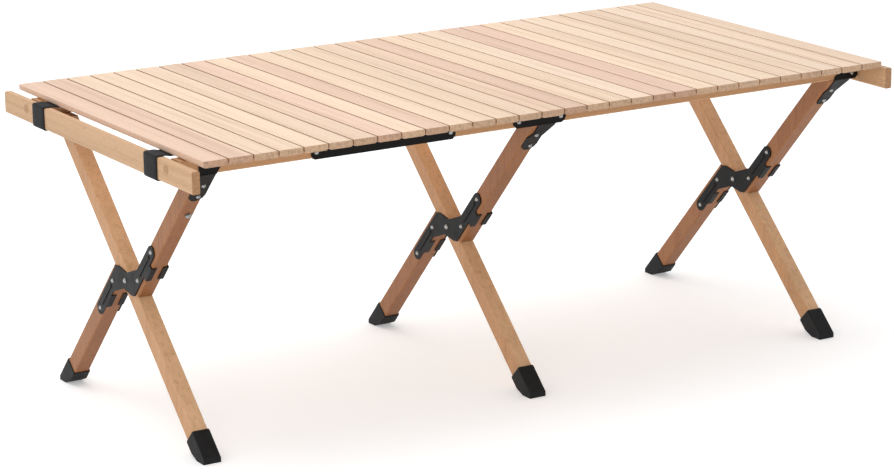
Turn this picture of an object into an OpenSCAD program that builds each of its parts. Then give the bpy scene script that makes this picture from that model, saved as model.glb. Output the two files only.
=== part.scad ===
// Folding side table: a roll-up slatted top on two rails that three scissor leg frames carry.
// X runs along the table, Y across it (front is -Y) and Z is up from the floor.

/* [Overall] */
// Length over the two end boards
table_l = 1204; // [1190:1:1240]
// Height of the table top above the floor
table_h = 455; // [450:1:460]

/* [Slats] */
// Distance from one slat to the next
slat_pitch = 39; // [38.9:0.05:39]
// Gap between two slats
slat_gap = 2; // [2:0.1:3]
// Thickness of a slat
slat_t = 9.5; // [8:0.5:9.5]
// Length of a slat, across the table
slat_l = 606; // [590:1:610]
// Radius of a slat's lower long edges
slat_round = 3.5; // [2:0.5:5]

/* [End boards] */
// Thickness of an end board
board_t = 12; // [10:1:12]
// Height of an end board
board_h = 32; // [28:1:36]
// Length of an end board, across the table
board_l = 620; // [610:1:640]
// Radius of a wooden plug in an end board
plug_r = 7; // [4:0.5:8]

/* [Rails] */
// Side of a rail's square section
rail_s = 24; // [22:1:24]
// Distance of a rail's centre line from the middle of the table
rail_y = 232; // [228:1:236]
// Length of a rail
rail_l = 1176; // [1160:1:1176]
// Length of the steel channel round a rail's splice
channel_l = 236; // [160:1:260]

/* [Legs] */
// Distance of the outer leg frames from the middle one
frame_x = 547; // [500:1:550]
// Height of the pivots above the floor
pivot_z = 215; // [212:1:218]
// Width of a leg, seen from the end of the table
leg_w = 26; // [20:1:26]
// Thickness of a leg, along the table
leg_t = 24; // [18:1:24]
// Lean of the one-piece legs from upright
lean_long = 46; // [45:0.5:47]
// Lean of the two-piece legs from upright
lean_split = 42.8; // [42:0.1:43]
// Offset of a two-piece leg's halves from the pivot's line
split_offset = 26; // [25.5:0.5:26]

/* [Metal] */
// Thickness of the pressed steel plates
steel_t = 1.8; // [1.5:0.1:2]
// Radius of a rivet's head
rivet_head_r = 3.3; // [3:0.1:5]

/* [Hidden] */

slat_count = 30;
slat_colours = ["#e6c9a6", "#ddb791", "#ead0b0", "#dcae8c"];
beech = "#d2a679";
dark_beech = "#b88558";
black_steel = "#222020";
zinc = "#c3c3c0";
rubber = "#26272a";

fit = 0.3;                                   // running gap between pieces that move past each other
snug = 0.05;                                 // gap round a rivet or a cap on what it holds
edge = 1.5;                                  // chamfer on the wooden bars
slat_z = table_h - slat_t;                   // underside of the slats
field_x = -table_l / 2 + 20.25;              // left end of the slats' field
rail_top = slat_z - 0.5;
rail_z = rail_top - rail_s / 2;
rail_base = rail_top - rail_s;
rail_face = rail_y + rail_s / 2;
frame_places = [-frame_x, 0, frame_x];
leg_reach = 340;                             // longer than any leg, before its ends are cut
split_end = leg_w / 2 + 0.7;                 // a half's cut end, measured from the pivot
plate_x = leg_t / 2 + fit;                   // inner face of a cross plate
pin_r = 3;
rivet_r = 2;
rivet_head_t = 1.7;
cut_rivet = [split_offset - 1.5, 36];        // rivet by a half's cut end: across and along the leg
wing_rivet = [split_offset - 3, 106];        // rivet at the end of a plate's wing
tab_z = [58, 88];                            // a plate's side tab, along the leg
tab_reach = 7;                               // how far a tab lies over the leg's face
cap_l = 44;                                  // length of a foot cap up the leg
cap_t = 1.8;                                   // wall of a foot cap
sole_t = 8;
sole_y = [-9, 11.5];                         // sole, from the leg's centre line out to the toe
heel_rise = 0.4;                             // slope of the heel behind the sole
bracket_drop = 62;                           // length of a top bracket down the leg
bracket_rivets = [26, 52];                   // rivets down the leg, from the bend
channel_x = (frame_places[0] + frame_places[1]) / 2 + 9;
channel_rivet = channel_l / 2 - 8;
stud_drop = 98;                              // strap stud, down the leg from the bracket's bend

// Where a leg's underside meets the rails' base, along the leg from the pivot's line
long_bend = (rail_base - pivot_z) / cos(lean_long) + leg_w / 2 * tan(lean_long);
split_bend = (rail_base - pivot_z) / cos(lean_split) + (split_offset + leg_w / 2) * tan(lean_split);

// A bar with chamfered edges, along local Z from z0 to z1, leg_t by leg_w in section
module bar(z0, z1, sx, sy) {
    a = sx / 2;
    b = sy / 2;
    translate([0, 0, z0])
        linear_extrude(z1 - z0)
            polygon([[a, b - edge], [a - edge, b], [edge - a, b], [-a, b - edge],
                     [-a, edge - b], [edge - a, -b], [a - edge, -b], [a, edge - b]]);
}

// Local frames: Z runs up the leg, Y points away from its underside
module long_frame(x) {
    translate([x, 0, pivot_z]) rotate([-lean_long, 0, 0]) children();
}

module split_frame(x) {
    translate([x, 0, pivot_z]) rotate([lean_split, 0, 0]) children();
}

// Everything between two heights
module slab(z0, z1) {
    translate([-table_l, -table_l, z0]) cube([2 * table_l, 2 * table_l, z1 - z0]);
}

module across(x0, x1, r) {
    translate([x0, 0, 0]) rotate([0, 90, 0]) cylinder(r = r, h = x1 - x0, $fn = 24);
}

// A rivet's domed head, standing up from z = 0
module head(r = rivet_head_r) {
    cylinder(r1 = r, r2 = 0.62 * r, h = rivet_head_t, $fn = 20);
}

// Places of the rivets that hold a half of a two-piece leg; side is -1 for the upper half
module at_leg_rivets(side) {
    for (p = [cut_rivet, wing_rivet])
        translate([0, side * p[0], -side * p[1]]) children();
}

// ---- rails, their splice channels and the end boards

module rail(side) {
    color(beech)
        translate([0, side * rail_y, rail_z]) rotate([0, 90, 0])
            bar(-rail_l / 2, rail_l / 2, rail_s, rail_s);
}

module channel(side) {
    lip = 12;
    height = 17;
    end = channel_l / 2;
    color(black_steel)
        rotate([0, 0, side > 0 ? 180 : 0])
            translate([channel_x, -rail_face, rail_base])
                difference() {
                    union() {
                        rotate([90, 0, 0]) linear_extrude(steel_t)
                            polygon([[5 - end, -steel_t], [end - 5, -steel_t], [end, 3], [end, height - 5],
                                     [end - 5, height], [5 - end, height], [-end, height - 5], [-end, 3]]);
                        translate([5 - end, -steel_t, -steel_t]) cube([2 * end - 10, lip, steel_t]);
                    }
                    for (i = [-1, 1])
                        translate([i * channel_rivet, -steel_t - 1, 8]) rotate([-90, 0, 0])
                            cylinder(r = rivet_r + snug, h = steel_t + 2, $fn = 24);
                }
}

module channel_rivets(side) {
    rotate([0, 0, side > 0 ? 180 : 0])
        for (i = [-1, 1])
            translate([channel_x + i * channel_rivet, -rail_face, rail_base + 8])
                face_rivet();
}

// A rivet on a front face: its shank fills the plate and its head stands outside
module face_rivet() {
    rotate([90, 0, 0]) {
        cylinder(r = rivet_r, h = steel_t, $fn = 24);
        translate([0, 0, steel_t]) head();
    }
}

module end_board(side) {
    color(beech)
        difference() {
            translate([side * (table_l - board_t) / 2, 0, slat_z - board_h / 2 - 0.5]) rotate([90, 0, 0])
                bar(-board_l / 2, board_l / 2, board_t, board_h);
            for (y = [-rail_y, rail_y])
                translate([side > 0 ? table_l / 2 - 8 : -table_l / 2 - 1, y, rail_z])
                    across(0, 9, plug_r + snug);
        }
}

module plugs(side) {
    color(dark_beech)
        for (y = [-rail_y, rail_y])
            translate([side * (table_l / 2 - 8), y, rail_z]) rotate([0, side * 90, 0]) {
                cylinder(r = plug_r, h = 8.4, $fn = 24);
                translate([0, 0, 8.4]) cylinder(r1 = plug_r - 0.4, r2 = plug_r - 2.2, h = 1.2, $fn = 24);
            }
}

// ---- slats

function arc(cx, cz, r, a0, a1, n = 4) =
    [for (k = [0 : n]) let (a = a0 + (a1 - a0) * k / n) [cx + r * cos(a), cz + r * sin(a)]];

module slat(i) {
    w = (slat_pitch - slat_gap) / 2;
    top = 0.8;
    color(slat_colours[(i * 7) % 4])
        translate([field_x + slat_pitch * (i + 0.5), slat_l / 2, slat_z]) rotate([90, 0, 0])
            linear_extrude(slat_l)
                polygon(concat(
                    arc(w - top, slat_t - top, top, 0, 90, 2),
                    arc(top - w, slat_t - top, top, 90, 180, 2),
                    arc(slat_round - w, slat_round, slat_round, 180, 270),
                    arc(w - slat_round, slat_round, slat_round, 270, 360)));
}

// ---- one-piece legs: rear rail to front foot

module long_leg(x) {
    color(beech)
        difference() {
            intersection() {
                long_frame(x) bar(-leg_reach, leg_reach, leg_t, leg_w);
                slab(sole_t, rail_base);
            }
            long_frame(x) across(-leg_t, leg_t, pin_r + snug);
        }
}

module pivot_pin(x) {
    tip = plate_x + steel_t + fit;
    long_frame(x) {
        across(-tip, tip, pin_r);
        translate([tip, 0, 0]) rotate([0, 90, 0]) head(4);
        translate([-tip, 0, 0]) rotate([0, -90, 0]) head(4);
    }
}

// A bent strap under the rear rail and down the leg's underside
module rear_bracket(x) {
    width = 21;
    corner = (rail_base - pivot_z) * tan(lean_long) + leg_w / 2 / cos(lean_long);
    difference() {
        intersection() {
            union() {
                long_frame(x)
                    translate([-width / 2, leg_w / 2, long_bend - bracket_drop])
                        cube([width, steel_t, bracket_drop + 3]);
                translate([x - width / 2 + 0.5, corner + 0.6, rail_base - steel_t])
                    cube([width - 1, rail_face - corner - 1.6, steel_t]);
            }
            slab(0, rail_base);
        }
        long_frame(x) rear_bracket_places()
            cylinder(r = rivet_r + snug, h = 4 * steel_t, center = true, $fn = 24);
    }
}

module rear_bracket_places() {
    for (d = bracket_rivets)
        translate([0, leg_w / 2, long_bend - d]) rotate([-90, 0, 0]) children();
}

module rear_bracket_rivets(x) {
    long_frame(x) rear_bracket_places() {
        cylinder(r = rivet_r, h = steel_t, $fn = 24);
        translate([0, 0, steel_t]) head();
    }
}

// ---- two-piece legs: front rail to rear foot, either side of the one-piece leg

module half_leg(x, side) {
    color(dark_beech)
        difference() {
            intersection() {
                split_frame(x)
                    translate([0, side * split_offset, 0])
                        bar(side < 0 ? split_end : -leg_reach, side < 0 ? leg_reach : -split_end,
                            2 * plate_x, leg_w);
                slab(sole_t, rail_base);
            }
            split_frame(x) at_leg_rivets(side) across(-leg_t, leg_t, rivet_r + snug);
        }
}

// Outline of a cross plate: two wings joined by a lozenge, the same turned half a turn
module plate_outline() {
    inner = split_offset - leg_w / 2;
    outer = 2 * wing_rivet[0] - inner;
    half = [[inner, -wing_rivet[1]], [inner, -48], [-5, -13], [6 - outer, 1], [-outer, 8],
            [-outer, wing_rivet[1]]];
    polygon(concat(half, [for (p = half) -p]));
    for (side = [-1, 1])
        translate([side * wing_rivet[0], -side * wing_rivet[1]])
            circle(r = wing_rivet[0] - inner, $fn = 24);
}

module plate_holes() {
    across(-2 * leg_t, 2 * leg_t, pin_r + fit);
    for (side = [-1, 1])
        at_leg_rivets(side) across(-2 * leg_t, 2 * leg_t, rivet_r + snug);
}

// One cross plate on the side where x has the sign of face, with ribs and side tabs
module cross_plate(face) {
    rib_w = 4;
    rib_t = 0.9;
    front = split_offset + leg_w / 2;
    back = split_offset - leg_w / 2;
    mirror([face > 0 ? 0 : 1, 0, 0]) {
        translate([plate_x, 0, 0]) rotate([90, 0, 90]) linear_extrude(steel_t) plate_outline();
        for (side = [-1, 1])
            translate([plate_x + steel_t, side * wing_rivet[0] - rib_w / 2,
                       side < 0 ? 46 : -96])
                cube([rib_t, rib_w, 50]);
        // tabs reach forward and fold over each half's front face
        for (t = [[-front - steel_t, -wing_rivet[0] - 4, tab_z[0]],
                  [back - 1.5, wing_rivet[0] - 4, -tab_z[1]]]) {
            face_t = t[0] < 0 ? steel_t : 1.5;
            translate([plate_x, t[0], t[2]]) cube([steel_t, t[1] - t[0], tab_z[1] - tab_z[0]]);
            translate([plate_x - tab_reach, t[0], t[2]])
                cube([tab_reach + 0.5, face_t - snug, tab_z[1] - tab_z[0]]);
        }
    }
}

module cross_plates(x) {
    color(black_steel)
        split_frame(x)
            difference() {
                for (face = [-1, 1]) cross_plate(face);
                plate_holes();
            }
}

module cross_rivets(x) {
    tip = plate_x + steel_t;
    split_frame(x)
        for (side = [-1, 1])
            at_leg_rivets(side) {
                across(-tip, tip, rivet_r);
                translate([tip, 0, 0]) rotate([0, 90, 0]) head();
                translate([-tip, 0, 0]) rotate([0, -90, 0]) head();
            }
}

// ---- front top brackets: a rail part that differs by place, and a leg part

// The rail part's outline, in X and in height above the rail's base
module rail_part(place) {
    if (place == 0) {
        polygon([[-11.5, -1], [15, -1], [25, 14], [25, 18], [21, 22], [-11.5, 22]]);
    } else if (place == 1) {
        polygon([[-42, -1], [36, -1], [42, 3], [44, 9], [40, 15], [-43, 15], [-48, 10], [-47, 4]]);
    } else {
        polygon([[-4, -1], [35, -1], [40, 3], [40, 9], [36, 14], [9, 14], [-4, 4]]);
    }
}

// The leg part's outline, in X and in distance up the leg from the bend
module leg_part(place) {
    left = place == 0 ? -11 : -3;
    lobe = place == 2 ? -7 : -11;
    right = plate_x + steel_t;
    web = place == 0 ? right + 0.5 : 26;             // the web in the corner between rail and leg
    polygon([[left, 2], [left, -22], [lobe, -31], [lobe, 9 - bracket_drop],
             [-5, 2 - bracket_drop], [1, -bracket_drop], [7, 1.5 - bracket_drop],
             [12, 7 - bracket_drop], [right, 14 - bracket_drop], [right, -30], [web, -4], [web, 2]]);
}

function rail_part_rivets(place) = place == 1 ? [-38, 35] : place == 2 ? [30] : [];

module front_bracket(x, place) {
    color(black_steel)
        difference() {
            union() {
                translate([x, -rail_face, rail_base]) rotate([90, 0, 0])
                    linear_extrude(steel_t) rail_part(place);
                split_frame(x) {
                    front = -split_offset - leg_w / 2;
                    translate([0, front, split_bend]) rotate([90, 0, 0])
                        linear_extrude(steel_t) leg_part(place);
                    // lip that folds over the leg's right side
                    translate([plate_x, front - steel_t, split_bend - 34])
                        cube([steel_t, 9, 24]);
                }
            }
            split_frame(x) front_bracket_places()
                cylinder(r = rivet_r + snug, h = 4 * steel_t, center = true, $fn = 24);
            for (dx = rail_part_rivets(place))
                translate([x + dx, -rail_face, rail_base + 8]) rotate([90, 0, 0])
                    cylinder(r = rivet_r + snug, h = 4 * steel_t, center = true, $fn = 24);
        }
}

module front_bracket_places() {
    for (d = bracket_rivets)
        translate([4, -split_offset - leg_w / 2, split_bend - d]) rotate([90, 0, 0]) children();
}

module front_bracket_rivets(x, place) {
    split_frame(x) front_bracket_places() {
        cylinder(r = rivet_r, h = steel_t, $fn = 24);
        translate([0, 0, steel_t]) head();
    }
    for (dx = rail_part_rivets(place))
        translate([x + dx, -rail_face, rail_base + 8]) face_rivet();
}

// The stud that a carrying strap snaps on, on the left frame's upper half
module strap_stud() {
    color(zinc)
        split_frame(frame_places[0])
            translate([3, -split_offset - leg_w / 2 - snug, split_bend - stud_drop])
                rotate([90, 0, 0]) {
                    cylinder(r = 4.6, h = 1.2, $fn = 32);
                    translate([0, 0, 1.2]) cylinder(r = 2.6, h = 1.6, $fn = 32);
                    translate([0, 0, 2.8]) cylinder(r1 = 3.8, r2 = 2.4, h = 1.8, $fn = 32);
                }
}

// ---- foot caps

// A cap round a leg's foot, in the leg's own frame, up to cap_end along the leg
module cap_block(cap_end) {
    hull()
        for (grow = [0, 1])
            bar(-leg_reach, cap_end - 2 * grow, leg_t + 2 * cap_t + grow - 1,
                leg_w + 2 * cap_t + grow - 1);
}

// What is kept of a cap: a flat sole, an upright toe and a rising heel, with the toe towards +Y
module boot_outline(x) {
    translate([x - 50, 0, 0]) rotate([90, 0, 90])
        linear_extrude(100)
            polygon([[sole_y[0], 0], [sole_y[1], 0], [sole_y[1], 100],
                     [sole_y[0] - 100, 100], [sole_y[0] - 100, 100 * heel_rise]]);
}

module front_foot(x) {
    difference() {
        intersection() {
            long_frame(x) cap_block(cap_l - pivot_z / cos(lean_long));
            translate([0, -pivot_z * tan(lean_long), 0]) mirror([0, 1, 0]) boot_outline(x);
        }
        intersection() {
            long_frame(x) bar(-leg_reach, 0, leg_t + 2 * snug, leg_w + 2 * snug);
            slab(sole_t - snug, 200);
        }
    }
}

module rear_foot(x) {
    foot = (pivot_z + split_offset * sin(lean_split)) / cos(lean_split);
    centre = foot * sin(lean_split) + split_offset * cos(lean_split);
    difference() {
        intersection() {
            split_frame(x) translate([0, split_offset, 0]) cap_block(cap_l - foot);
            translate([0, centre + 1, 0]) boot_outline(x);
        }
        intersection() {
            split_frame(x) translate([0, split_offset, 0])
                bar(-leg_reach, 0, 2 * plate_x + 2 * snug, leg_w + 2 * snug);
            slab(sole_t - snug, 200);
        }
    }
}

// ---- nodes

module rear_rail() { rail(1); }
module rear_channel() { channel(1); }
module long_leg_left() { long_leg(frame_places[0]); }
module long_leg_middle() { long_leg(frame_places[1]); }
module long_leg_right() { long_leg(frame_places[2]); }
module rear_brackets() { color(black_steel) for (x = frame_places) rear_bracket(x); }
module pivot_pins() { color(zinc) for (x = frame_places) pivot_pin(x); }
module rear_rivets() {
    color(zinc) {
        channel_rivets(1);
        for (x = frame_places) rear_bracket_rivets(x);
    }
}
module front_feet() { color(rubber) for (x = frame_places) front_foot(x); }
module front_rail() { rail(-1); }
module front_channel() { channel(-1); }
module upper_leg_left() { half_leg(frame_places[0], -1); }
module upper_leg_middle() { half_leg(frame_places[1], -1); }
module upper_leg_right() { half_leg(frame_places[2], -1); }
module lower_leg_left() { half_leg(frame_places[0], 1); }
module lower_leg_middle() { half_leg(frame_places[1], 1); }
module lower_leg_right() { half_leg(frame_places[2], 1); }
module cross_plates_left() { cross_plates(frame_places[0]); }
module cross_plates_middle() { cross_plates(frame_places[1]); }
module cross_plates_right() { cross_plates(frame_places[2]); }
module front_bracket_left() { front_bracket(frame_places[0], 0); }
module front_bracket_middle() { front_bracket(frame_places[1], 1); }
module front_bracket_right() { front_bracket(frame_places[2], 2); }
module front_rivets() {
    color(zinc) {
        channel_rivets(-1);
        for (i = [0 : 2]) {
            front_bracket_rivets(frame_places[i], i);
            cross_rivets(frame_places[i]);
        }
    }
}
module rear_feet() { color(rubber) for (x = frame_places) rear_foot(x); }
module left_end_board() { end_board(-1); }
module left_plugs() { plugs(-1); }
module right_end_board() { end_board(1); }
module right_plugs() { plugs(1); }

rear_rail();
rear_channel();
long_leg_left();
long_leg_middle();
long_leg_right();
rear_brackets();
pivot_pins();
rear_rivets();
front_feet();
front_rail();
front_channel();
upper_leg_left();
upper_leg_middle();
upper_leg_right();
lower_leg_left();
lower_leg_middle();
lower_leg_right();
cross_plates_left();
cross_plates_middle();
cross_plates_right();
front_bracket_left();
front_bracket_middle();
front_bracket_right();
front_rivets();
strap_stud();
rear_feet();
left_end_board();
left_plugs();
right_end_board();
right_plugs();
for (i = [0 : slat_count - 1])
    slat(i);
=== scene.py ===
"""The looks of the folding side table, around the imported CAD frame."""
import math
import random

import bmesh
import bpy
from mathutils import Matrix, Vector


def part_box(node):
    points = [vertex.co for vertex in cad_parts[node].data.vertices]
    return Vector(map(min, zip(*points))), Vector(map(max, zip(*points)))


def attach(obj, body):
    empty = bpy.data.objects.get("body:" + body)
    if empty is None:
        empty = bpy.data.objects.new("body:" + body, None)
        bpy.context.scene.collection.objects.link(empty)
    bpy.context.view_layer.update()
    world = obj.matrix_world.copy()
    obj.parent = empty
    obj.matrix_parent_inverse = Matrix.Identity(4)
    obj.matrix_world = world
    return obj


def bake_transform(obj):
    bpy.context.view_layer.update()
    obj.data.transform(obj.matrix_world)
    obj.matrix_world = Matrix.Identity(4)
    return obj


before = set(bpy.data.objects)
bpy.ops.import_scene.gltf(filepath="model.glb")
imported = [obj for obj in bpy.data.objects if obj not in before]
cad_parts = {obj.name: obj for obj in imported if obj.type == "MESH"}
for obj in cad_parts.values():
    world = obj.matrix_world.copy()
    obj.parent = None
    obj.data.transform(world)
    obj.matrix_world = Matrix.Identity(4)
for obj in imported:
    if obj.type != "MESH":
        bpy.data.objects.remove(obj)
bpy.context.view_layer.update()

# ---- names and sizes, in metres

SLATS = [f"slat_{i:02d}" for i in range(1, 31)]
RAILS = ["front_rail", "rear_rail"]
BOARDS = ["left_end_board", "right_end_board"]
LONG_LEGS = ["long_leg_left", "long_leg_middle", "long_leg_right"]
HALF_LEGS = [f"{half}_leg_{place}" for half in ("upper", "lower") for place in ("left", "middle", "right")]
STEEL = (["front_channel", "rear_channel", "rear_brackets"]
         + [f"{kind}_{place}" for kind in ("cross_plates", "front_bracket")
            for place in ("left", "middle", "right")])
RIVETS = ["front_rivets", "rear_rivets", "pivot_pins", "strap_stud"]
FEET = ["front_feet", "rear_feet"]
PLUGS = ["left_plugs", "right_plugs"]

STRAP_Y = 0.186          # middle of each webbing strap, from the middle of the table
STRAP_W = 0.040
STRAP_T = 0.0016
STRAP_GAP = 0.0001       # between a strap and the slats
WRAP_GAP = 0.0003        # between a strap and an end board
WRAP_ROUND = 0.0018      # radius of a strap's turn at an end board's corner


# ---- materials

class Nodes:
    """A new material's node tree, with short calls for the nodes used here."""

    def __init__(self, name):
        self.material = bpy.data.materials.new(name)
        self.material.use_nodes = True
        self.tree = self.material.node_tree
        self.shader = self.tree.nodes["Principled BSDF"]
        self.coords = self.add("ShaderNodeTexCoord")

    def add(self, kind, **settings):
        node = self.tree.nodes.new(kind)
        for key, value in settings.items():
            setattr(node, key, value)
        return node

    def link(self, source, target):
        self.tree.links.new(source, target)

    def set(self, node, **values):
        for key, value in values.items():
            node.inputs[key.replace("_", " ")].default_value = value

    def mapped(self, scale, offset=(0, 0, 0)):
        """Object coordinates, stretched by scale and moved by offset."""
        node = self.add("ShaderNodeMapping")
        node.inputs["Scale"].default_value = scale
        node.inputs["Location"].default_value = offset
        self.link(self.coords.outputs["Object"], node.inputs["Vector"])
        return node.outputs["Vector"]

    def noise(self, vector, scale, detail=3.0, roughness=0.5):
        node = self.add("ShaderNodeTexNoise")
        self.set(node, Scale=scale, Detail=detail, Roughness=roughness)
        self.link(vector, node.inputs["Vector"])
        return node.outputs["Fac"]

    def ramp(self, value, stops):
        node = self.add("ShaderNodeValToRGB")
        band = node.color_ramp
        while len(band.elements) < len(stops):
            band.elements.new(0.5)
        for element, (place, colour) in zip(band.elements, stops):
            element.position = place
            element.color = (*colour, 1)
        self.link(value, node.inputs["Fac"])
        return node.outputs["Color"]

    def mix(self, factor, a, b, blend="MIX"):
        node = self.add("ShaderNodeMix", data_type="RGBA", blend_type=blend)
        for socket, value in ((node.inputs[0], factor), (node.inputs[6], a), (node.inputs[7], b)):
            if isinstance(value, (float, int)):
                socket.default_value = value
            elif isinstance(value, tuple):
                socket.default_value = (*value, 1)
            else:
                self.link(value, socket)
        return node.outputs[2]

    def math(self, operation, a, b=0.0):
        node = self.add("ShaderNodeMath", operation=operation)
        for socket, value in ((node.inputs[0], a), (node.inputs[1], b)):
            if isinstance(value, (float, int)):
                socket.default_value = value
            else:
                self.link(value, socket)
        return node.outputs[0]

    def bump(self, height, strength, distance):
        node = self.add("ShaderNodeBump")
        self.set(node, Strength=strength, Distance=distance)
        self.link(height, node.inputs["Height"])
        self.link(node.outputs["Normal"], self.shader.inputs["Normal"])


WHITE = (1.0, 1.0, 1.0)
BLACK = (0.0, 0.0, 0.0)


def grey(level):
    return (level,) * 3


def shade(colour, factor):
    return tuple(min(1.0, c * factor) for c in colour)


def wood(name, colour, grain, seed, flecks=0.5, figure=0.10, end_dark=0.72, painted_shade_sides=None):
    """Beech with its grain along an axis: broad figure, fine fibres, short flecks and darker ends, partly end
    grain and partly painted shade.

    The last argument is an axis and a colour that darken the long faces across that axis: painted shade, not
    the wood's own colour.
    """
    n = Nodes(name)
    rng = random.Random(seed)
    offset = tuple(rng.uniform(-40, 40) for _ in range(3))
    along = "XYZ".index(grain)

    def stretched(length, across):
        return tuple(length if i == along else across for i in range(3))

    broad = n.noise(n.mapped(stretched(1.3, 16), offset), 1.0, 3.0)
    lines = n.noise(n.mapped(stretched(2.2, 150), offset), 1.0, 4.0, 0.6)
    fibre = n.noise(n.mapped(stretched(9, 900), offset), 1.0, 2.0)
    fleck = n.noise(n.mapped(stretched(150, 1100), offset), 1.0, 1.0)

    pale = tuple(min(1, c * f) for c, f in zip(colour, (1.05, 1.07, 1.10)))
    base = n.ramp(broad, [(0.30, shade(colour, 1 - figure)), (0.52, colour), (0.75, pale)])
    line_tone = n.ramp(lines, [(0.32, (0.84, 0.80, 0.76)), (0.5, (0.97, 0.965, 0.96)), (0.68, WHITE)])
    lined = n.mix(1.0, base, line_tone, "MULTIPLY")
    fleck_tone = n.ramp(fleck, [(0.30, (0.55, 0.42, 0.33)), (0.40, WHITE)])
    flecked = n.mix(flecks, lined, n.mix(1.0, lined, fleck_tone, "MULTIPLY"))

    # the ends: darker and warmer, with pores instead of lines; the darkening is partly end grain and partly
    # painted shade
    split = n.add("ShaderNodeSeparateXYZ")
    n.link(n.coords.outputs["Normal"], split.inputs[0])
    end = n.math("GREATER_THAN", n.math("ABSOLUTE", split.outputs[along]), 0.9)
    pores = n.noise(n.mapped((260, 260, 260), offset), 1.0, 3.0)
    end_colour = tuple(c * end_dark * f for c, f in zip(colour, (1.0, 0.86, 0.74)))
    end_grain_and_shade = n.ramp(pores, [(0.35, shade(end_colour, 0.80)), (0.60, shade(end_colour, 1.08))])

    face = flecked
    # painted shade: the long faces across the given axis are darkened in colour
    if painted_shade_sides:
        axis, dark = painted_shade_sides
        facing = n.math("ABSOLUTE", split.outputs["XYZ".index(axis)])
        edge = n.ramp(facing, [(0.55, BLACK), (0.92, WHITE)])
        face = n.mix(edge, flecked, n.mix(1.0, flecked, dark, "MULTIPLY"))
    n.link(n.mix(end, face, end_grain_and_shade), n.shader.inputs["Base Color"])
    n.link(n.ramp(fibre, [(0.3, grey(0.44)), (0.7, grey(0.56))]), n.shader.inputs["Roughness"])
    n.set(n.shader, Coat_Weight=0.04, Coat_Roughness=0.35, Specular_IOR_Level=0.32)
    n.bump(fibre, 0.25, 0.0002)
    return n.material


def coated_steel(name, colour, roughness):
    """Black powder coat: fine orange peel, small variations of gloss and dusty worn patches."""
    n = Nodes(name)
    peel = n.noise(n.mapped((1, 1, 1)), 1400, 2.0)
    patch = n.noise(n.mapped((1, 1, 1)), 45, 4.0)
    n.link(n.ramp(patch, [(0.35, colour), (0.75, shade(colour, 1.8))]), n.shader.inputs["Base Color"])
    n.link(n.ramp(patch, [(0.3, grey(roughness - 0.07)), (0.7, grey(roughness + 0.08))]),
           n.shader.inputs["Roughness"])
    n.set(n.shader, Metallic=0.0, Coat_Weight=0.02, Coat_Roughness=0.25, Specular_IOR_Level=0.13)
    n.bump(peel, 0.35, 0.0002)
    return n.material


def zinc(name):
    """Dull bright zinc of the rivets, with fine turning marks."""
    n = Nodes(name)
    turned = n.noise(n.mapped((1, 1, 1)), 900, 3.0)
    n.link(n.ramp(turned, [(0.3, (0.26, 0.26, 0.25)), (0.7, (0.46, 0.46, 0.45))]),
           n.shader.inputs["Base Color"])
    n.link(n.ramp(turned, [(0.3, grey(0.22)), (0.7, grey(0.38))]), n.shader.inputs["Roughness"])
    n.set(n.shader, Metallic=1.0)
    n.bump(turned, 0.12, 0.0001)
    return n.material


def rubber(name):
    """Black moulded rubber with a fine grain and dusty patches."""
    n = Nodes(name)
    grain = n.noise(n.mapped((1, 1, 1)), 2200, 3.0)
    dust = n.noise(n.mapped((1, 1, 0.4)), 60, 4.0)
    n.link(n.ramp(dust, [(0.4, (0.0050, 0.0053, 0.006)), (0.8, (0.014, 0.014, 0.015))]),
           n.shader.inputs["Base Color"])
    n.link(n.ramp(dust, [(0.3, grey(0.52)), (0.7, grey(0.68))]), n.shader.inputs["Roughness"])
    n.set(n.shader, Specular_IOR_Level=0.25)
    n.bump(grain, 0.5, 0.0003)
    return n.material


def webbing(name):
    """Black woven strap: ribs across it, herringbone threads and a soft sheen."""
    n = Nodes(name)
    vector = n.mapped((1, 1, 1))
    ribs = n.add("ShaderNodeTexWave", wave_type="BANDS", bands_direction="Y")
    n.set(ribs, Scale=160.0, Distortion=0.4, Detail=1.0)
    n.link(vector, ribs.inputs["Vector"])
    threads = n.add("ShaderNodeTexWave", wave_type="BANDS", bands_direction="DIAGONAL")
    n.set(threads, Scale=330.0, Distortion=0.6, Detail=1.0)
    n.link(vector, threads.inputs["Vector"])
    height = n.math("ADD", ribs.outputs["Fac"], n.math("MULTIPLY", threads.outputs["Fac"], 0.5))
    n.link(n.ramp(threads.outputs["Fac"], [(0.2, (0.005, 0.005, 0.006)), (0.8, (0.014, 0.0145, 0.016))]),
           n.shader.inputs["Base Color"])
    n.set(n.shader, Roughness=0.75, Sheen_Weight=0.06, Sheen_Roughness=0.4, Specular_IOR_Level=0.2)
    n.bump(height, 0.6, 0.0004)
    return n.material


# ---- finishing the CAD pieces

def soften(node, width, segments=2):
    """Rounds a CAD node's sharp edges a little with a bevel modifier."""
    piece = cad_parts[node]
    bevel = piece.modifiers.new("soft edges", "BEVEL")
    bevel.width = width
    bevel.segments = segments
    bevel.limit_method = "ANGLE"
    bevel.angle_limit = math.radians(25)
    bevel.harden_normals = False


def paint(node, material):
    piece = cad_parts[node]
    piece.data.materials.clear()
    piece.data.materials.append(material)


SLAT_TONES = [(0.800, 0.600, 0.420), (0.770, 0.560, 0.390), (0.830, 0.640, 0.460),
              (0.740, 0.520, 0.370), (0.815, 0.615, 0.425), (0.780, 0.545, 0.395)]
RAIL_TONE = (0.520, 0.285, 0.135)
BOARD_TONE = (0.600, 0.370, 0.205)
LEG_TONE = (0.790, 0.490, 0.275)
# the half legs' tone is partly their darker beech and partly painted shade of their shaded faces
HALF_LEG_TONE_AND_SHADE = (0.350, 0.145, 0.052)

# for each kind of piece, the axis across its long faces that are painted darker as shade, and the colour of
# that painted shade
SLAT_PAINTED_SHADE = ("X", (0.46, 0.33, 0.24))
LONG_LEG_PAINTED_SHADE = ("X", (0.72, 0.62, 0.52))
HALF_LEG_PAINTED_SHADE = ("Y", (0.66, 0.56, 0.48))


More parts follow.
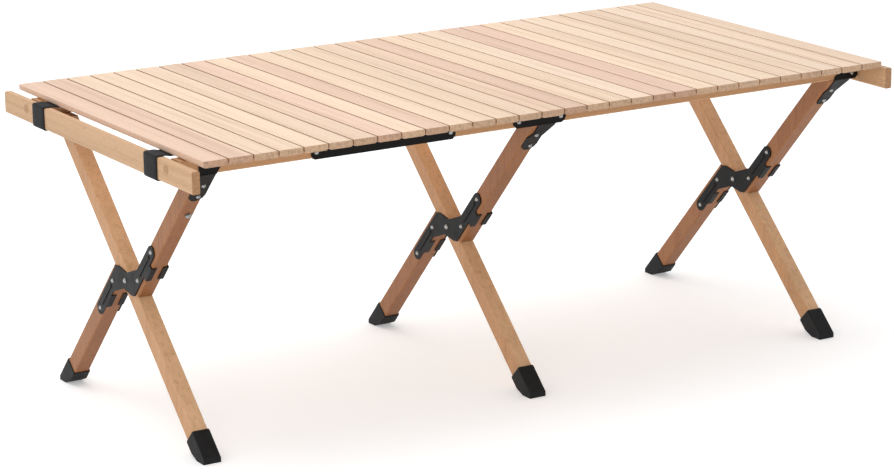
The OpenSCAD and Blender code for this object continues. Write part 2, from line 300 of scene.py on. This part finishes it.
def finish_wood():
    """Gives each wooden node its own tone and grain; the slats' tones vary at random."""
    rng = random.Random(11)
    for i, node in enumerate(SLATS):
        tone = SLAT_TONES[rng.randrange(len(SLAT_TONES))]
        tone = tuple(c * k for c, k in zip(shade(tone, rng.uniform(0.98, 1.05)), (1.0, 1.0, 1.05)))
        soften(node, 0.0006)
        paint(node, wood(f"{node}_beech", tone, "Y", 100 + i, flecks=0.35, figure=0.06,
                         painted_shade_sides=SLAT_PAINTED_SHADE if i else None))
    for i, node in enumerate(RAILS):
        soften(node, 0.0008)
        paint(node, wood(f"{node}_beech", RAIL_TONE, "X", 200 + i))
    for i, node in enumerate(BOARDS):
        soften(node, 0.0010)
        paint(node, wood(f"{node}_beech", BOARD_TONE, "Y", 220 + i))
    for i, node in enumerate(LONG_LEGS + HALF_LEGS):
        soften(node, 0.0012, 3)
        tone = LEG_TONE if node in LONG_LEGS else HALF_LEG_TONE_AND_SHADE
        painted_shade_sides = LONG_LEG_PAINTED_SHADE if node in LONG_LEGS else HALF_LEG_PAINTED_SHADE
        paint(node, wood(f"{node}_beech", shade(tone, 1.0 + 0.03 * (i % 3 - 1)), "Z", 300 + i, flecks=0.6,
                         painted_shade_sides=painted_shade_sides))
    for i, node in enumerate(PLUGS):
        soften(node, 0.0006)
        paint(node, wood(f"{node}_beech", shade(BOARD_TONE, 0.88), "X", 400 + i, end_dark=0.80))


def finish_metal_and_rubber():
    black = coated_steel("black_powder_coat", (0.0030, 0.0022, 0.0018), 0.40)
    for node in STEEL:
        soften(node, 0.0004)
        paint(node, black)
    bright = zinc("bright_zinc")
    for node in RIVETS:
        soften(node, 0.0005)
        paint(node, bright)
    moulded = rubber("moulded_rubber")
    for node in FEET:
        soften(node, 0.0016, 3)
        paint(node, moulded)


# ---- webbing straps

def ribbon(name, path, y, material):
    """A strap of STRAP_T by STRAP_W whose lower side follows path, a list of (x, z), with rounded edges."""
    mesh = bmesh.new()
    across = [-1.0, -0.965, -0.5, 0.0, 0.5, 0.965, 1.0]
    rings = []
    for i, (x, z) in enumerate(path):
        before, after = path[max(i - 1, 0)], path[min(i + 1, len(path) - 1)]
        run = Vector((after[0] - before[0], 0, after[1] - before[1])).normalized()
        up = Vector((-run.z, 0, run.x))
        lower = []
        upper = []
        for a in across:
            edge = 0.3 if abs(a) == 1.0 else 0.0
            place = Vector((x, y + a * STRAP_W / 2, z))
            lower.append(mesh.verts.new(place + up * STRAP_T * edge))
            upper.append(mesh.verts.new(place + up * STRAP_T * (1 - edge)))
        rings.append(lower + upper[::-1])
    for a, b in zip(rings, rings[1:]):
        for i in range(len(a)):
            j = (i + 1) % len(a)
            mesh.faces.new((a[i], a[j], b[j], b[i]))
    mesh.faces.new(rings[0][::-1])
    mesh.faces.new(rings[-1])
    bmesh.ops.recalc_face_normals(mesh, faces=mesh.faces)
    data = bpy.data.meshes.new(name)
    mesh.to_mesh(data)
    mesh.free()
    for face in data.polygons:
        face.use_smooth = True
    piece = bpy.data.objects.new(name, data)
    bpy.context.collection.objects.link(piece)
    data.materials.append(material)
    return piece


def line(a, b, steps):
    """Points from a to b, both (x, z), in equal steps."""
    return [(a[0] + (b[0] - a[0]) * t / steps, a[1] + (b[1] - a[1]) * t / steps) for t in range(steps + 1)]


def corner(centre, radius, start, turn, steps=4):
    """Points round a corner, from the angle start through turn, in degrees."""
    return [(centre[0] + radius * math.cos(math.radians(start + turn * t / steps)),
             centre[1] + radius * math.sin(math.radians(start + turn * t / steps))) for t in range(steps + 1)]


def make_straps():
    """Both straps: a length across each gap between two slats, and a loop round each end board."""
    material = webbing("black_webbing")
    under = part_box(SLATS[0])[0].z - STRAP_GAP - STRAP_T
    middles = [(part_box(s)[0].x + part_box(s)[1].x) / 2 for s in SLATS]
    for side, y in (("front", -STRAP_Y), ("rear", STRAP_Y)):
        for i in range(len(SLATS) - 1):
            path = line((middles[i], under), (middles[i + 1], under), 12)
            piece = ribbon(f"strap_{side}_{i + 1:02d}", path, y, material)
            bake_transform(piece)
        make_left_wrap(side, y, under, middles[0], material)
        make_right_wrap(side, y, under, middles[-1], material)


def make_left_wrap(side, y, under, start, material):
    """From the first slat over the left board, down its outer face, under it and up its inner face."""
    low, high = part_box("left_end_board")
    gap, r = WRAP_GAP, WRAP_ROUND
    x0, x1, z0, z1 = low.x - gap, high.x + gap, low.z - gap, high.z + gap
    path = line((start, under), (x1 + 0.009, under), 6)
    path += [(x1 + 0.006, under + 0.0004), (x1 + 0.003, z1 - 0.0002), (x1, z1)]
    path += line((x1 - 0.001, z1), (x0 + r, z1), 4)
    path += corner((x0 + r, z1 - r), r, 90, 90)
    path += line((x0, z1 - 2 * r), (x0, z0 + 2 * r), 6)
    path += corner((x0 + r, z0 + r), r, 180, 90)
    path += line((x0 + 2 * r, z0), (x1 - 2 * r, z0), 4)
    path += corner((x1 - r, z0 + r), r, 270, 90)
    path += line((x1, z0 + 2 * r), (x1, z1 - 0.008), 5)
    piece = ribbon(f"strap_wrap_{side}_left", path[::-1], y, material)
    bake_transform(piece)


def make_right_wrap(side, y, under, start, material):
    """The last slat's length of strap, and its loop round the right board."""
    slat_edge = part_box(SLATS[-1])[1].x
    tail = ribbon(f"strap_{side}_30", line((start, under), (slat_edge - 0.0003, under), 4), y, material)
    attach(tail, SLATS[-1])
    low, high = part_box("right_end_board")
    gap, r = WRAP_GAP, WRAP_ROUND
    x0, x1, z0, z1 = low.x - gap, high.x + gap, low.z - gap, high.z + gap
    path = line((x0, z1 - 0.006), (x0, z0 + 2 * r), 5)
    path += corner((x0 + r, z0 + r), r, 180, 90)
    path += line((x0 + 2 * r, z0), (x1 - 2 * r, z0), 4)
    path += corner((x1 - r, z0 + r), r, 270, 90)
    path += line((x1, z0 + 2 * r), (x1, z1 - 2 * r), 6)
    path += corner((x1 - r, z1 - r), r, 0, 90)
    path += line((x1 - 2 * r, z1), (x0 + 0.001, z1), 4)
    piece = ribbon(f"strap_wrap_{side}_right", path[::-1], y, material)
    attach(piece, "right_end_board")


# ---- stage, light and camera

FLOOR_HALF = 14.0


def make_stage():
    """A pale floor that glows a little, so that it stays nearly white under the table."""
    n = Nodes("pale_floor")
    n.set(n.shader, Base_Color=(0.86, 0.875, 0.89, 1), Roughness=0.9,
          Emission_Color=(1, 1, 1, 1), Emission_Strength=0.34)
    mesh = bpy.data.meshes.new("floor")
    corners = [(x * FLOOR_HALF, y * FLOOR_HALF, 0) for x, y in ((-1, -1), (1, -1), (1, 1), (-1, 1))]
    mesh.from_pydata(corners, [], [(0, 1, 2, 3)])
    mesh.materials.append(n.material)
    floor = bpy.data.objects.new("floor", mesh)
    bpy.context.collection.objects.link(floor)


def area_light(name, place, target, size, power):
    data = bpy.data.lights.new(name, "AREA")
    data.shape = "RECTANGLE"
    data.size, data.size_y = size
    data.energy = power
    lamp = bpy.data.objects.new(name, data)
    bpy.context.collection.objects.link(lamp)
    lamp.location = place
    lamp.rotation_euler = (Vector(target) - Vector(place)).to_track_quat("-Z", "Y").to_euler()


def make_light():
    """A white room, darker towards the front, with soft lights overhead and at the left."""
    world = bpy.data.worlds.new("studio")
    world.use_nodes = True
    nodes, links = world.node_tree.nodes, world.node_tree.links
    background = nodes["Background"]
    coords, split, ramp = (nodes.new(f"ShaderNode{kind}") for kind in ("TexCoord", "SeparateXYZ", "ValToRGB"))
    turn = nodes.new("ShaderNodeMapRange")
    turn.inputs["From Min"].default_value = -1
    links.new(coords.outputs["Generated"], split.inputs[0])
    links.new(split.outputs["Y"], turn.inputs["Value"])
    links.new(turn.outputs[0], ramp.inputs["Fac"])
    ramp.color_ramp.elements[0].position = 0.15
    ramp.color_ramp.elements[0].color = (0.38, 0.38, 0.38, 1)
    ramp.color_ramp.elements[1].position = 0.62
    links.new(ramp.outputs["Color"], background.inputs["Color"])
    background.inputs["Strength"].default_value = 1.0
    bpy.context.scene.world = world
    area_light("overhead", (-0.4, 0.4, 2.8), (0, 0, 0.3), (2.6, 2.0), 30)
    area_light("left_front", (-2.6, -2.2, 1.9), (0, 0, 0.3), (1.6, 1.6), 16)
    bpy.context.scene.view_settings.view_transform = "Standard"
    bpy.context.scene.view_settings.look = "None"


CAMERA_PLACE = Vector((-2.40043, -3.91789, 1.42282))
CAMERA_RIGHT = Vector((0.85229, -0.52294, -0.01165))
CAMERA_FORWARD = Vector((0.50271, 0.82507, -0.25796))
FOCAL = 124.1            # millimetres on a 36 mm sensor


def make_camera():
    data = bpy.data.cameras.new("camera")
    data.sensor_width = 36
    data.lens = FOCAL
    camera = bpy.data.objects.new("camera", data)
    bpy.context.collection.objects.link(camera)
    back = -CAMERA_FORWARD.normalized()
    right = (CAMERA_RIGHT - back * CAMERA_RIGHT.dot(back)).normalized()
    up = back.cross(right)
    turn = Matrix((right, up, back)).transposed().to_4x4()
    camera.matrix_world = Matrix.Translation(CAMERA_PLACE) @ turn
    bpy.context.scene.camera = camera


finish_wood()
finish_metal_and_rubber()
make_straps()
make_stage()
make_light()
make_camera()
